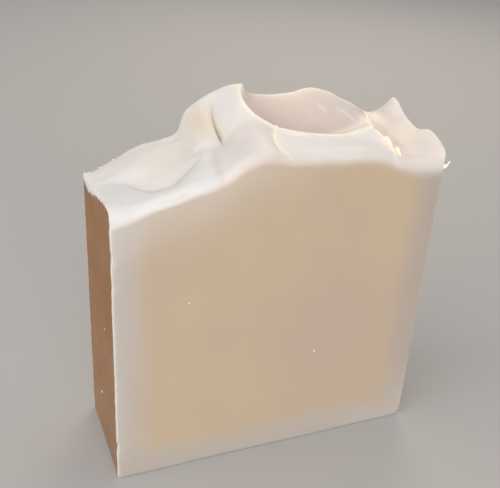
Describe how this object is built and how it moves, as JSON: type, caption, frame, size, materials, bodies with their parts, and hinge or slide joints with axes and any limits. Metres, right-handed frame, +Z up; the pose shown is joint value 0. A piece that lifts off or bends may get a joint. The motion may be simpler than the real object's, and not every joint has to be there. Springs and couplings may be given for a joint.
{
  "type": "shaving soap bar",
  "caption": "Rectangular slice of hand-made shaving soap standing on its base, warm translucent centre, pale edges, spooned and folded top with a smooth scoop and a curled peak.",
  "frame": {"origin": "middle of the flat bottom face", "axes": "+X across the wide cut face to the viewer's right, +Y through the bar from the front cut face to the back one, +Z up"},
  "size_m": [0.072, 0.0254, 0.0791],
  "materials": {
    "gelled_soap": "waxy satin, translucent, warm tan",
    "pale_soap": "waxy satin, translucent, pale bluish cream",
    "top_soap": "waxy satin, translucent, white",
    "scooped_soap": "smooth waxy satin with a soft sheen, pinkish cream",
    "thin_soap": "thin, glowing, warm cream"
  },
  "bodies": {
    "root": {"gelled_core": "gelled_soap", "rind_base": "pale_soap", "rind_left": "pale_soap", "rind_right": "pale_soap", "left_fold": "top_soap", "front_lip": "top_soap", "middle_mound": "top_soap", "scoop_bowl": "scooped_soap", "front_apron": "top_soap", "right_mound": "top_soap", "ridge_flake_large": "thin_soap", "ridge_flake_small": "thin_soap", "wire_burr": "thin_soap"}
  },
  "joints": []
}
